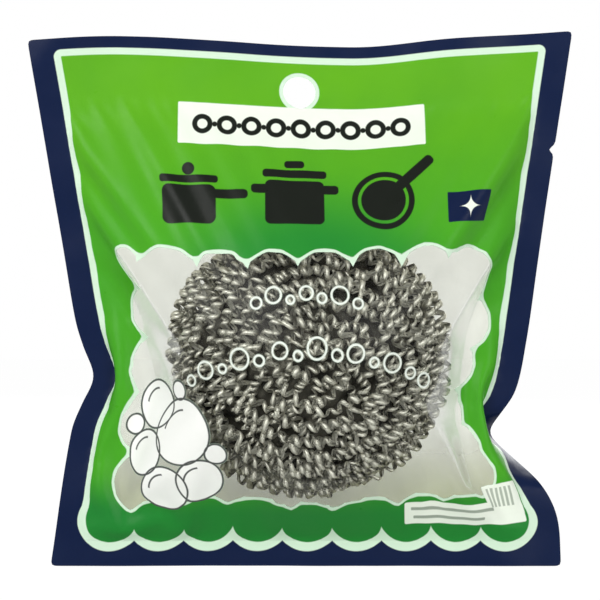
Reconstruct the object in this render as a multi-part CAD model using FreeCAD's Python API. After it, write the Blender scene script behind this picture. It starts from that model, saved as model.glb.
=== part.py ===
import FreeCAD, Part
import math
import os

from FreeCAD import Vector

# Pot scrubber: a wad of wound steel ribbon, sealed in a printed film pouch that hangs by a round hole.
# Millimetres. The origin is the middle of the hang hole, on the plane where the two films are welded.
# +Z is up, +X is to the right as the shopper sees it, and the front of the pouch faces -Y.

# Pouch film, drawn thicker than the real 0.05 mm so that it can be meshed
film_thickness = 0.3
film_gap = 0.1
weld_half_thickness = film_thickness + film_gap

# Scrubber wad: a flattened ball, wound round the front-to-back axis
wad_radius = 45.5
wad_half_depth = 31.5
wad_right = 3.3
wad_drop = 84.0
wad_film_clearance = 0.7
strand_diameter = 4.0
strand_gap = 0.55
strand_seat_clearance = 0.3
first_turn_radius = 6.5
tuck_radius = 4.5
tuck_angle = math.radians(120)

# Tie wire that runs through the middle of the wad, with both ends bent over
tie_diameter = 1.2
tie_bend_radius = 1.2
tie_leg = 0.8
tie_clearance = 0.3
tie_pit_radius = 3.4

# Welded edges
side_weld_width = 7.6
top_weld_width = 4.0
bottom_weld_width = 8.0

# Pouch outline: heights are from the hang hole, and reaches are sideways from it
pouch_top = 15.0
left_top_reach = 84.6
right_top_reach = 85.2
left_bottom_reach = 77.4
right_bottom_reach = 82.0
bottom_below_wad = 19.8
shoulder_above_wad = 34.0
left_shoulder_inset = 11.1
right_shoulder_inset = 9.8

# The waist on each side, where the film is pinched: drops are from the wad's middle, margins from its rim
left_waist = [(-11.0, 27.4), (-3.0, 25.0), (6.3, 21.8), (14.8, 25.5), (23.0, 28.7)]
right_waist = [(-4.0, 22.3), (11.0, 19.0), (19.0, 13.8), (24.6, 11.7)]

# How the right edge runs out again below its waist: shares of the way down to the bottom and out to its reach
right_foot = [(0.157, 0.284), (0.366, 0.702), (0.624, 0.949)]

# Top edge, which dips over the hang hole: places along it and rises above the pouch's top
top_left_crest = (-55.0, 1.2)
top_dip = (16.0, -2.3)
top_right_crest = (48.0, 0.4)
top_left_corner_rise = -0.2
top_right_corner_rise = 2.8

# Header and hang hole
hang_hole_radius = 5.3
fold_below_hole = 2.2
toe_width = 5.0
least_foot_margin = 0.9

# Main folds of both films round the wad: where each starts and ends, right of and above the wad's middle,
# how far its crest stands out of the film, or in where negative, and half its width. They end near the welds.
film_folds = [
    ((-75, 72), (-26, 0), 2.5, 7.0),
    ((-72, 49), (-34, -2), 3.5, 6.5),
    ((-74, 75), (-20, 21), -1.9, 8.0),
    ((68, 71), (24, 5), 3.4, 6.5),
    ((66, 46), (34, 0), 3.5, 9.5),
    ((-62, 30), (-39, -29), -4.0, 8.0),
    ((61, 29), (43, -20), -5.0, 7.0),
    ((-49, -4), (-58, -54), -5.5, 11.0),
    ((26, -14), (54, -27), 3.0, 8.0),
    ((42, -21), (64, -53), -5.3, 6.0),
    ((-30, -19), (-28, -56), -2.1, 11.0),
    ((26, -15), (40, -51), -2.2, 9.5),
    ((-15, -52), (28, -57), 1.8, 17.0),
]
fold_softness = 2.0
fold_fade = 7.0

# Tear notch in the right edge
notch_drop = 21.5
notch_depth = 2.2
notch_width = 2.4

# Scalloped clear window: lobes along its sides and across its corners. Those at the bottom swell into it.
window_columns = 6
window_rows = 4
window_corner = 8.0
window_top_drop = 55.5
window_bottom_margin = 10.0
window_side_margin = 11.0
scallop_rise = 5.0
side_scallop_rise = 3.2
bottom_scallop_rise = 2.5

# How finely the film is drawn, and how far past the pocket before it is trimmed to its welds
film_steps = 50
film_overrun = 2.0
edge_steps = 60
edge_runs = 12
gradient_step = 0.05
far = 400.0

pouch_bottom = -(wad_drop + wad_radius + bottom_below_wad)
header_fold = -hang_hole_radius - fold_below_hole
wad_centre = Vector(wad_right, 0, -wad_drop)
strand_radius = strand_diameter / 2
crown_radius = wad_radius + wad_film_clearance
crown_depth = wad_half_depth + wad_film_clearance


def smooth_through(points):
    """A smooth curve through (where, value) points, as a function of where."""
    points = sorted(points)
    where = [p[0] for p in points]
    value = [p[1] for p in points]
    slope = [(value[1] - value[0]) / (where[1] - where[0])]
    for i in range(1, len(points) - 1):
        slope.append((value[i + 1] - value[i - 1]) / (where[i + 1] - where[i - 1]))
    slope.append((value[-1] - value[-2]) / (where[-1] - where[-2]))

    def at(x):
        i = 0
        while i < len(points) - 2 and x > where[i + 1]:
            i += 1
        span = where[i + 1] - where[i]
        t = (x - where[i]) / span
        if t < 0:
            return value[i] + slope[i] * (x - where[i])
        if t > 1:
            return value[i + 1] + slope[i + 1] * (x - where[i + 1])
        rise = t * t * (3 - 2 * t)
        start_pull = span * slope[i] * t * (1 - t) ** 2
        end_pull = span * slope[i + 1] * t * t * (t - 1)
        return value[i] + (value[i + 1] - value[i]) * rise + start_pull + end_pull

    return at


# Outer edges of the pouch. The sides draw in at the waist, where the film has to go round the wad.
shoulder_height = shoulder_above_wad - wad_drop
left_edge = smooth_through([
    (pouch_bottom, -left_bottom_reach),
    *[(-wad_drop - drop, wad_right - wad_radius - margin) for drop, margin in left_waist],
    (shoulder_height, -left_top_reach + left_shoulder_inset),
    (pouch_top, -left_top_reach),
])
right_pinch_height = -wad_drop - right_waist[-1][0]
right_pinch_reach = wad_right + wad_radius + right_waist[-1][1]
right_edge = smooth_through([
    (pouch_bottom, right_bottom_reach),
    *[
        (
            right_pinch_height + (pouch_bottom - right_pinch_height) * down,
            right_pinch_reach + (right_bottom_reach - right_pinch_reach) * out,
        )
        for down, out in right_foot
    ],
    *[(-wad_drop - drop, wad_right + wad_radius + margin) for drop, margin in right_waist],
    (shoulder_height, right_top_reach - right_shoulder_inset),
    (pouch_top, right_top_reach),
])
top_edge = smooth_through([
    (-left_top_reach, pouch_top + top_left_corner_rise),
    (top_left_crest[0], pouch_top + top_left_crest[1]),
    (top_dip[0], pouch_top + top_dip[1]),
    (top_right_crest[0], pouch_top + top_right_crest[1]),
    (right_top_reach, pouch_top + top_right_corner_rise),
])
pocket_bottom = pouch_bottom + bottom_weld_width


def pocket_left(height):
    return left_edge(height) + side_weld_width


def pocket_right(height):
    return right_edge(height) - side_weld_width


def in_pocket(x, z):
    return pocket_bottom < z < header_fold and pocket_left(z) < x < pocket_right(z)


def pocket_reach(angle):
    """How far the pocket runs from the wad's axis in one direction, found by halving."""
    across, up = math.cos(angle), math.sin(angle)
    inside, outside = 0.0, far
    while outside - inside > 1e-6:
        middle = (inside + outside) / 2
        if in_pocket(wad_centre.x + across * middle, wad_centre.z + up * middle):
            inside = middle
        else:
            outside = middle
    return inside


def taut_height(radius, reach):
    """How far a taut film stands off the weld plane: straight from the wad down to a soft toe at the weld."""
    foot = max(reach - toe_width / 2, crown_radius + least_foot_margin)
    touch = crown_radius ** 2 / foot
    if radius <= touch:
        return cover_height(radius)
    slope = cover_height(touch) / (foot - touch)
    if radius <= reach - toe_width:
        return slope * (foot - radius)
    room = max(reach - radius, -film_overrun)
    return slope * room ** 2 / (2 * toe_width)


def cover_height(radius):
    """How far the wad holds the film off the weld plane."""
    return crown_depth * math.sqrt(max(1 - (radius / crown_radius) ** 2, 0.0))


def hump(share):
    """1 in the middle, falling smoothly to 0 at a share of -1 or 1."""
    return (1 - share * share) ** 2 if abs(share) < 1 else 0.0


def fold_height(across, up):
    """How far the folds carry the film out, or in, at a place right of and above the wad's middle."""
    total = 0.0
    for start, end, rise, half_width in film_folds:
        run, climb = end[0] - start[0], end[1] - start[1]
        length = math.hypot(run, climb)
        along = ((across - start[0]) * run + (up - start[1]) * climb) / length
        aside = ((up - start[1]) * run - (across - start[0]) * climb) / length
        total += rise * hump(aside / half_width) * hump((2 * along / length - 1) ** 2)
    return total


def film_height(x, z):
    """How far the film stands off the weld plane: taut, with folds that end at the welds and keep off the wad."""
    across, up = x - wad_centre.x, z - wad_centre.z
    radius = math.hypot(across, up)
    reach = pocket_reach(math.atan2(up, across))
    freedom = 1 - hump((reach - radius) / fold_fade)
    folded = taut_height(radius, reach) + fold_height(across, up) * freedom
    clear_of_plane = (folded + math.hypot(folded, fold_softness * freedom)) / 2
    return max(clear_of_plane, cover_height(radius))


def spread_to_edges(steps):
    """Places from 0 to 1, closer together near both ends."""
    places = [i / steps for i in range(steps + 1)]
    return [(place + (1 - math.cos(math.pi * place)) / 2) / 2 for place in places]


def film_point(across, up, side, offset):
    """A point of the film at its place in the pocket, pushed out along the film's own normal."""
    low, high = pocket_bottom - film_overrun, header_fold + film_overrun
    z = low + (high - low) * up
    left, right = pocket_left(z) - film_overrun, pocket_right(z) + film_overrun
    x = left + (right - left) * across
    point = Vector(x, side * (film_gap + film_height(x, z)), z)
    lean_x = (film_height(x + gradient_step, z) - film_height(x - gradient_step, z)) / (2 * gradient_step)
    lean_z = (film_height(x, z + gradient_step) - film_height(x, z - gradient_step)) / (2 * gradient_step)
    normal = Vector(-lean_x, side, -lean_z).normalize()
    return point + normal * offset


def film_face(side, offset):
    places = spread_to_edges(film_steps)
    surface = Part.BSplineSurface()
    surface.interpolate([[film_point(a, u, side, offset) for u in places] for a in places])
    return surface.toShape()


def closed_solid(faces):
    shell = Part.Shell(faces)
    shell.sewShape()
    solid = Part.Solid(shell)
    if solid.Volume < 0:
        solid.reverse()
    return solid


def pocket_film(side):
    """One bulged film of the pocket, -1 for the front and 1 for the back."""
    inner = film_face(side, 0.0)
    outer = film_face(side, film_thickness)
    rims = [Part.makeRuledSurface(a, b) for a, b in zip(inner.Edges, outer.Edges)]
    return closed_solid([inner, outer, *rims]).common(pocket_prism())


def curve_through(points):
    curve = Part.BSplineCurve()
    curve.interpolate(points)
    return curve.toShape()


def side_curve(edge, low, high):
    heights = [low + (high - low) * i / edge_steps for i in range(edge_steps + 1)]
    return curve_through([Vector(edge(z), 0, z) for z in heights])


def top_curve(drop, left, right):
    places = [left + (right - left) * i / edge_steps for i in range(edge_steps + 1)]
    return curve_through([Vector(x, 0, top_edge(x) - drop) for x in places])


def weld_plate(edges):
    """A flat piece of the two films together, from a closed outline in the weld plane."""
    face = Part.Face(Part.Wire(Part.__sortEdges__(edges)))
    face.translate(Vector(0, -weld_half_thickness, 0))
    return face.extrude(Vector(0, 2 * weld_half_thickness, 0))


def line(start, end):
    return Part.LineSegment(start, end).toShape()


def end_points(edge):
    return edge.Vertexes[0].Point, edge.Vertexes[-1].Point


def half_space(edge, aside):
    """All of the plate on one side of a curve."""
    start, end = end_points(edge)
    return weld_plate([
        edge,
        line(start, start + aside),
        line(start + aside, end + aside),
        line(end + aside, end),
    ])


def top_corner(edge):
    """Where a side edge meets the top edge, sideways from the hang hole."""
    x = edge(pouch_top)
    for _ in range(40):
        x = edge(top_edge(x))
    return x


def pouch_plate():
    left_corner = top_corner(left_edge)
    right_corner = top_corner(right_edge)
    left = side_curve(left_edge, pouch_bottom, top_edge(left_corner))
    right = side_curve(right_edge, pouch_bottom, top_edge(right_corner))
    top = top_curve(0.0, left_corner, right_corner)
    bottom = line(end_points(left)[0], end_points(right)[0])
    return weld_plate([left, top, right, bottom])


def runs_of(edge):
    """A long edge as several shorter ones, end to end."""
    first, last = edge.ParameterRange
    stops = [first + (last - first) * i / edge_runs for i in range(edge_runs + 1)]
    return [edge.Curve.toShape(a, b) for a, b in zip(stops, stops[1:])]


def pocket_prism():
    """The space in front of and behind the pocket, between the welds and below the header."""
    left = side_curve(pocket_left, pocket_bottom, pouch_top)
    right = side_curve(pocket_right, pocket_bottom, pouch_top)
    ends = [line(a, b) for a, b in zip(end_points(left), end_points(right))]
    face = Part.Face(Part.Wire(Part.__sortEdges__([*runs_of(left), *runs_of(right), *ends])))
    reach = Vector(0, 2 * wad_half_depth, 0)
    face.translate(reach * -1)
    header = Part.makeBox(2 * far, 2 * reach.y, far, Vector(-far, -reach.y, header_fold))
    return face.extrude(reach * 2).cut(header)


def tear_notch():
    edge = right_edge(-notch_drop)
    tip = Vector(edge - notch_depth, 0, -notch_drop)
    mouth = Vector(edge + notch_depth, 0, -notch_drop)
    half = Vector(0, 0, notch_width)
    corners = [tip, mouth + half, mouth - half]
    return weld_plate([line(corners[i - 1], corners[i]) for i in range(3)])


def weld_pieces():
    """The four welded edges and the flat header, cut from one plate."""
    plate = pouch_plate()
    top_line = top_curve(top_weld_width, -far / 2, far / 2)
    above = half_space(top_line, Vector(0, 0, far))
    bottom_line = line(Vector(-far, 0, pocket_bottom), Vector(far, 0, pocket_bottom))
    below = half_space(bottom_line, Vector(0, 0, -far))
    middle = plate.cut(above).cut(below)
    leftward = half_space(side_curve(pocket_left, pocket_bottom, pouch_top), Vector(-far, 0, 0))
    rightward = half_space(side_curve(pocket_right, pocket_bottom, pouch_top), Vector(far, 0, 0))
    fold_line = line(Vector(-far, 0, header_fold), Vector(far, 0, header_fold))
    header = middle.cut(leftward).cut(rightward).common(half_space(fold_line, Vector(0, 0, far)))
    punch = Part.makeCylinder(
        hang_hole_radius, 4 * weld_half_thickness, Vector(0, -2 * weld_half_thickness, 0), Vector(0, 1, 0)
    )
    return {
        "top_weld": plate.common(above),
        "bottom_weld": plate.common(below),
        "left_weld": middle.common(leftward),
        "right_weld": middle.common(rightward).cut(tear_notch()),
        "header_panel": header.cut(punch),
    }


def scallop(start, end, rise):
    """One lobe of the window's edge, an arc that swells to the left of its way, or to the right if it falls."""
    chord = end - start
    outward = Vector(-chord.z, 0, chord.x).normalize()
    return Part.Arc(start, (start + end) * 0.5 + outward * rise, end).toShape()


def window_prism():
    top = -window_top_drop
    bottom = pocket_bottom + window_bottom_margin

    def left_at(z):
        return pocket_left(z) + window_side_margin

    def right_at(z):
        return pocket_right(z) - window_side_margin

    def spread(start, end, count):
        return [start + (end - start) * i / count for i in range(count + 1)]

    rises = spread(bottom + window_corner, top - window_corner, window_rows)
    places = spread(left_at(top) + window_corner, right_at(top) - window_corner, window_columns)
    returns = spread(right_at(bottom) - window_corner, left_at(bottom) + window_corner, window_columns)
    sides = [
        ([Vector(left_at(z), 0, z) for z in rises], side_scallop_rise),
        ([Vector(x, 0, top) for x in places], scallop_rise),
        ([Vector(right_at(z), 0, z) for z in reversed(rises)], side_scallop_rise),
        ([Vector(x, 0, bottom) for x in returns], -bottom_scallop_rise),
    ]
    edges = []
    for (cusps, rise), (after, _) in zip(sides, sides[1:] + sides[:1]):
        edges += [scallop(a, b, rise) for a, b in zip(cusps, cusps[1:])]
        edges.append(scallop(cusps[-1], after[0], scallop_rise))
    face = Part.Face(Part.Wire(edges))
    return face.extrude(Vector(0, -2 * wad_half_depth, 0))


def on_winding(turn, half_width, half_depth, arc_at):
    """A point of the strand's centreline after so many turns round the wad."""
    lean = arc_at(turn)
    radius = half_width * math.sin(lean)
    angle = 2 * math.pi * turn + math.pi / 2
    return wad_centre + Vector(radius * math.cos(angle), -half_depth * math.cos(lean), radius * math.sin(angle))


def even_lean(half_width, half_depth, first, last, samples=2000):
    """The lean of an ellipse from its pole, as a function of the share of the way from first to last."""
    leans = [first + (last - first) * i / samples for i in range(samples + 1)]
    along = [0.0]
    for a, b in zip(leans, leans[1:]):
        middle = (a + b) / 2
        pace = math.hypot(half_width * math.cos(middle), half_depth * math.sin(middle))
        along.append(along[-1] + (b - a) * pace)

    def at(share):
        wanted = min(max(share, 0.0), 1.0) * along[-1]
        low, high = 0, samples
        while high - low > 1:
            middle = (low + high) // 2
            if along[middle] <= wanted:
                low = middle
            else:
                high = middle
        part = (wanted - along[low]) / (along[high] - along[low])
        return leans[low] + (leans[high] - leans[low]) * part

    return at, along[-1]


def tangent_arc(start, corner, end):
    """The arc from start to end whose tangents meet at the corner."""
    middle = (start + end) * 0.5
    sagitta_way = middle - corner
    side = (start - corner).Length
    half_chord = (start - middle).Length
    centre_distance = side * side / sagitta_way.Length
    radius = side * half_chord / sagitta_way.Length
    crown = corner + sagitta_way.normalize() * (centre_distance - radius)
    return Part.Arc(start, crown, end)


def biarc(start, start_way, end, end_way):
    """Two arcs that join two points smoothly, leaving and arriving in the given directions."""
    chord = end - start
    spread = 2 * (1 - start_way.dot(end_way))
    pull = 2 * chord.dot(start_way + end_way)
    reach = (math.sqrt(pull * pull + 4 * spread * chord.dot(chord)) - pull) / (2 * spread)
    first = start + start_way * reach
    second = end - end_way * reach
    joint = (first + second) * 0.5
    return [tangent_arc(start, first, joint), tangent_arc(joint, second, end)]


def winding_path():
    """The strand's centreline: out from a tucked end at the front, round the wad, and in again at the back."""
    half_width = wad_radius - strand_radius
    half_depth = wad_half_depth - strand_radius
    first = math.asin(first_turn_radius / half_width)
    lean_at, way = even_lean(half_width, half_depth, first, math.pi - first)
    turns = max(2, int(way / (strand_diameter + strand_gap)))
    quarter = 0.25
    nudge = 1e-4

    def place(turn):
        return on_winding(turn, half_width, half_depth, lambda t: lean_at(t / turns))

    def heading(turn):
        low, high = max(turn - nudge, 0), min(turn + nudge, turns)
        return (place(high) - place(low)).normalize()

    stops = [(place(i * quarter), heading(i * quarter)) for i in range(int(turns / quarter) + 1)]
    arcs = []
    for (start, start_way), (end, end_way) in zip(stops, stops[1:]):
        arcs += biarc(start, start_way, end, end_way)

    def tuck(depth, turned):
        """Where the tucked end leaves its bend, and the way it heads there, at one face of the wad."""
        bend = wad_centre + Vector(0, depth, first_turn_radius - tuck_radius)
        across, up = math.sin(tuck_angle), math.cos(tuck_angle)
        place = bend + Vector(turned * across, 0, up) * tuck_radius
        way = Vector(turned * math.cos(math.pi - tuck_angle), 0, math.sin(tuck_angle))
        return place, way

    start, start_way = stops[0]
    end, end_way = stops[-1]
    front, front_way = tuck(start.y, 1)
    back, back_way = tuck(end.y, -1)
    back_way = back_way * -1
    path = [Part.LineSegment(front - front_way * strand_diameter, front)]
    path += biarc(front, front_way, start, start_way)
    path += arcs
    path += biarc(end, end_way, back, back_way)
    path.append(Part.LineSegment(back, back + back_way * strand_diameter))
    return path, turns


def least_gap(path, turns):
    """The least clear gap between one turn of the strand and the next, measured on points."""
    points = []
    for piece in path:
        points += piece.toShape().discretize(9)[:-1]
    per_turn = len(points) // (turns + 1)
    least = far
    for i, point in enumerate(points):
        for other in points[i + per_turn // 2:i + 2 * per_turn]:
            least = min(least, (point - other).Length)
    return least - strand_diameter


def swept(path, radius):
    start = path[0].value(path[0].FirstParameter)
    way = (path[0].value(path[0].LastParameter) - start).normalize()
    section = Part.Wire(Part.makeCircle(radius, start, way))
    return Part.Wire([piece.toShape() for piece in path]).makePipeShell([section], True, False)


def ribbon_winding():
    path, turns = winding_path()
    length = sum(piece.length() for piece in path)
    solid = swept(path, strand_radius)
    print(f"winding: {turns} turns, {length:.0f} mm, least gap {least_gap(path, turns):.2f} mm")
    print(f"winding volume {solid.Volume:.0f}, section times length {math.pi * strand_radius ** 2 * length:.0f}")
    return solid


core_radius = wad_radius - strand_diameter - strand_seat_clearance
core_half_depth = wad_half_depth - strand_diameter - strand_seat_clearance
tie_bore_radius = tie_diameter / 2 + tie_clearance
tie_pit_depth = tie_bend_radius + tie_diameter / 2 + tie_clearance


def ribbon_core():
    """The packed ribbon under the outer turns, with the way through it for the tie wire."""
    half_circle = Part.Arc(Vector(0, -1, 0), Vector(1, 0, 0), Vector(0, 1, 0)).toShape()
    half_disc = Part.Face(Part.Wire([half_circle, line(Vector(0, 1, 0), Vector(0, -1, 0))]))
    ball = half_disc.revolve(Vector(0, 0, 0), Vector(0, 1, 0), 360)
    stretch = FreeCAD.Matrix()
    stretch.scale(core_radius, core_half_depth, core_radius)
    core = ball.transformGeometry(stretch)
    front = Vector(0, -core_half_depth, 0)
    core = core.cut(Part.makeCylinder(tie_bore_radius, 2 * core_half_depth, front, Vector(0, 1, 0)))
    for side in (-1, 1):
        mouth = Vector(0, side * core_half_depth, 0)
        core = core.cut(Part.makeCylinder(tie_pit_radius, tie_pit_depth, mouth, Vector(0, -side, 0)))
    core.translate(wad_centre)
    return core


def binding_tie():
    """A straight shank through the core, with each end bent over in its pit."""
    end = core_half_depth - tie_pit_depth + tie_clearance + tie_diameter / 2
    shank = end - tie_bend_radius
    bend = tie_bend_radius * math.sqrt(0.5)
    front = [
        Vector(tie_bend_radius + tie_leg, -end, 0),
        Vector(tie_bend_radius, -end, 0),
        Vector(tie_bend_radius - bend, -shank - bend, 0),
        Vector(0, -shank, 0),
    ]
    back = [Vector(p.x, -p.y, 0) for p in reversed(front)]
    path = [
        Part.LineSegment(front[0], front[1]),
        Part.Arc(front[1], front[2], front[3]),
        Part.LineSegment(front[3], back[0]),
        Part.Arc(back[0], back[1], back[2]),
        Part.LineSegment(back[2], back[3]),
    ]
    tie = swept(path, tie_diameter / 2)
    tie.translate(wad_centre)
    return tie


def build():
    pieces = weld_pieces()
    front = pocket_film(-1)
    prism = window_prism()
    pieces["front_film"] = front.cut(prism)
    pieces["clear_window"] = front.common(prism)
    pieces["back_film"] = pocket_film(1)
    pieces["ribbon_winding"] = ribbon_winding()
    pieces["ribbon_core"] = ribbon_core()
    pieces["binding_tie"] = binding_tie()
    return pieces


os.makedirs("parts", exist_ok=True)
for name, shape in build().items():
    solids = shape.Solids
    print(f"{name}: {len(solids)} solid, {shape.Volume:.1f} mm3, valid {shape.isValid()}")
    piece = solids[0] if len(solids) == 1 else Part.makeCompound(solids)
    piece.exportStep(f"parts/{name}.step")
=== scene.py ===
import bisect
import math

import bmesh
import bpy
from mathutils import Matrix, Vector, geometry, kdtree, noise


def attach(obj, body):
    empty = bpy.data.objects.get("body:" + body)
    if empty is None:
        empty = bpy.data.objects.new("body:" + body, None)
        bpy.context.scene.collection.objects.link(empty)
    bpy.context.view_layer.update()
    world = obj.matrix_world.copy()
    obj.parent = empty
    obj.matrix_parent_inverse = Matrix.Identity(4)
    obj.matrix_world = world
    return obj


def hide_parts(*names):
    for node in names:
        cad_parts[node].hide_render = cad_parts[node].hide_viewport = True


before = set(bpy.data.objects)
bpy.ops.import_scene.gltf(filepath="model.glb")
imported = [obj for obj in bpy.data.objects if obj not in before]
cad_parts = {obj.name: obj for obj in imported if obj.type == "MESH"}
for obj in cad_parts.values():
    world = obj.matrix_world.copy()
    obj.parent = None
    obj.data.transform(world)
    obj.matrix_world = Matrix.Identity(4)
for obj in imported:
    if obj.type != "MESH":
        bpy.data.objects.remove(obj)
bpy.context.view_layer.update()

scene = bpy.context.scene
scene.view_settings.view_transform = "Standard"
mm = 0.001
print("frame:", len(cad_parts), "nodes")

# sizes are in millimetres from the middle of the hang hole: x right, z up, the print faces -y
pouch = {
    "bottom": -149.3,
    "leftEdge": [  # height and reach
        (-149.3, -77.4), (-107, -70.9), (-98.8, -67.7), (-90.3, -64),
        (-81, -67.2), (-73, -69.6), (-50, -73.5), (15, -84.6),
    ],
    "rightEdge": [
        (-149.3, 82), (-134, 80.9), (-123.5, 75.6), (-115, 66.6), (-108.6, 60.5),
        (-103, 62.6), (-95, 67.8), (-80, 71.1), (-50, 75.4), (15, 85.2),
    ],
    "topEdge": [(-84.6, 14.8), (-55, 16.2), (16, 12.7), (48, 15.4), (85.2, 17.8)],
    "flatLeft": -84.8, "flatRight": 85.2, "flatTop": 15.5, "flatBottom": -160.0,  # before the wad went in
    "sideWeld": 7.6, "topWeld": 4.0, "bottomWeld": 8.0,
    "sideRim": 9.4,  # the weld and the flat strip beside it
    "holeRadius": 5.3,
    "notchAt": -23.0, "notchDeep": 2.3, "notchHalf": 1.3,
    "spacing": 2.5,  # mesh step of the flat film
    "filmThick": 0.12, "weldThick": 0.3, "layer": 0.14,
    "pinLow": -20.0, "pinHigh": -4.0,  # the two films lie together above this
    "waver": 1.6,  # how far the free edges wave
    "twistAt": -112.5, "twistReach": 10.5, "twist": 0.88,  # the right edge turns edge-on at the pinch
}
wad = {
    "x": 3.3, "z": -84.0, "radius": 45.5, "depth": 31.5,
    "strand": 4.0, "turns": 23, "firstRadius": 4.5,
    "coilPitch": 4.0, "coilSteps": 11, "ribbonWide": 2.1, "ribbonThick": 0.2,
    "sway": 3.4, "dive": 4.4,  # how far a strand wanders sideways and down among its neighbours
}
window = {  # cusps on the flat film, clockwise from the top left, each with the rise of the lobe after it
    "top": [
        (-54.5, -58.6, 5.0), (-34.3, -59.3, 4.9), (-16.9, -60.8, 5.3), (-0.5, -60.9, 5.4),
        (16, -60.5, 5.6), (32.4, -59.6, 5.2), (47.2, -57.4, 9.8),
    ],
    "right": [
        (66.2, -72.6, 6.0), (65, -88.1, 4.2), (57.5, -100.3, 1.6), (59.9, -111.2, 1.8), (65, -121.5, 4.6),
    ],
    "foot": [  # these lobes swell into the window
        (61, -135, -2.4), (46, -136.4, -2.4), (31, -137.2, -3.3), (9, -138.2, -3.0),
        (-5, -137.8, -3.4), (-27, -137.4, -3.0), (-44, -137.6, -2.6),
    ],
    "left": [
        (-59, -139.6, 6.2), (-61, -121, 5.6), (-62.5, -102, 4.6),
        (-58.8, -83.9, 7.2), (-55.3, -68.3, 0.8), (-64.6, -58.7, 4.6),
    ],
    "lineWide": 0.95,
}


def deselectAll():
    if bpy.context.object and bpy.context.object.mode != "OBJECT":
        bpy.ops.object.mode_set(mode="OBJECT")
    bpy.ops.object.select_all(action="DESELECT")


def makeActive(piece):
    deselectAll()
    piece.select_set(True)
    bpy.context.view_layer.objects.active = piece


def applyModifier(piece, modifier):
    makeActive(piece)
    bpy.ops.object.modifier_apply(modifier=modifier.name)


def meshPiece(name, points, faces):
    mesh = bpy.data.meshes.new(name)
    mesh.from_pydata(points, [], faces)
    mesh.update()
    piece = bpy.data.objects.new(name, mesh)
    scene.collection.objects.link(piece)
    return piece


def smoothThrough(points):
    points = sorted(points)
    at = [p[0] for p in points]
    value = [p[1] for p in points]
    slope = [(value[1] - value[0]) / (at[1] - at[0])]
    for i in range(1, len(points) - 1):
        slope.append((value[i + 1] - value[i - 1]) / (at[i + 1] - at[i - 1]))
    slope.append((value[-1] - value[-2]) / (at[-1] - at[-2]))

    def curve(x):
        i = min(max(bisect.bisect_right(at, x) - 1, 0), len(at) - 2)
        span = at[i + 1] - at[i]
        t = (x - at[i]) / span
        if t < 0:
            return value[i] + slope[i] * (x - at[i])
        if t > 1:
            return value[i + 1] + slope[i + 1] * (x - at[i + 1])
        pull = span * slope[i] * t * (1 - t) ** 2 + span * slope[i + 1] * t * t * (t - 1)
        return value[i] + (value[i + 1] - value[i]) * t * t * (3 - 2 * t) + pull

    return curve


def ease(low, high, x):
    t = min(max((x - low) / (high - low), 0.0), 1.0)
    return t * t * (3 - 2 * t)


leftEdge = smoothThrough(pouch["leftEdge"])
rightEdge = smoothThrough(pouch["rightEdge"])
topEdge = smoothThrough(pouch["topEdge"])


def edgeTurn(z):  # how square the right edge still faces the front
    return 1 - pouch["twist"] * (1 - ease(0, pouch["twistReach"], abs(z - pouch["twistAt"])))


def drawnIn(u, v):  # where a point of the flat film lies once the edges have drawn in
    low, high = pouch["flatBottom"] + pouch["bottomWeld"], pouch["flatTop"] - pouch["topWeld"]
    rim = pouch["sideRim"]
    near, far = pouch["flatLeft"] + rim, pouch["flatRight"] - rim
    x, z = u, v
    for _ in range(4):
        top = topEdge(x)
        if v < low:
            z = pouch["bottom"] + v - pouch["flatBottom"]
        elif v > high:
            z = top + v - pouch["flatTop"]
        else:
            foot, head = pouch["bottom"] + pouch["bottomWeld"], top - pouch["topWeld"]
            z = foot + (head - foot) * (v - low) / (high - low)
        left, right = leftEdge(z), rightEdge(z)
        if u < near:
            x = left + u - pouch["flatLeft"]
        elif u > far:
            x = right + (u - pouch["flatRight"]) * edgeTurn(z)
        else:
            left, right = left + rim, right - rim * edgeTurn(z)
            x = left + (right - left) * (u - near) / (far - near)
    return x, z


def lobeRadius(chord, rise):
    return ((chord / 2) ** 2 + rise ** 2) / (2 * rise)


def lobe(start, end, rise, step=2.3):  # one scallop, to the left of the way from start to end
    chord = Vector(end) - Vector(start)
    outward = Vector((-chord.y, chord.x)).normalized()
    radius = lobeRadius(chord.length, rise)
    middle = (Vector(start) + Vector(end)) / 2 + outward * (rise - radius)
    first = math.atan2(start[1] - middle.y, start[0] - middle.x)
    last = math.atan2(end[1] - middle.y, end[0] - middle.x)
    turn = (last - first + math.pi) % (2 * math.pi) - math.pi
    steps = max(4, round(abs(radius * turn) / step))
    angles = [first + turn * i / steps for i in range(steps)]
    return [(middle.x + abs(radius) * math.cos(a), middle.y + abs(radius) * math.sin(a)) for a in angles]


def windowRing():
    cusps = window["top"] + window["right"] + window["foot"] + window["left"]
    ring = []
    for (u, v, rise), (nextU, nextV, _) in zip(cusps, cusps[1:] + cusps[:1]):
        ring += lobe((u, v), (nextU, nextV), rise)
    return ring


def insideRing(ring, u, v):
    inside = False
    for (a, b), (c, d) in zip(ring, ring[1:] + ring[:1]):
        if (b > v) != (d > v) and u < a + (v - b) * (c - a) / (d - b):
            inside = not inside
    return inside


def stepAlong(corners, step):
    ring = []
    for a, b in zip(corners, corners[1:] + corners[:1]):
        count = max(1, round(math.dist(a, b) / step))
        ring += [(a[0] + (b[0] - a[0]) * i / count, a[1] + (b[1] - a[1]) * i / count) for i in range(count)]
    return ring


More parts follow.
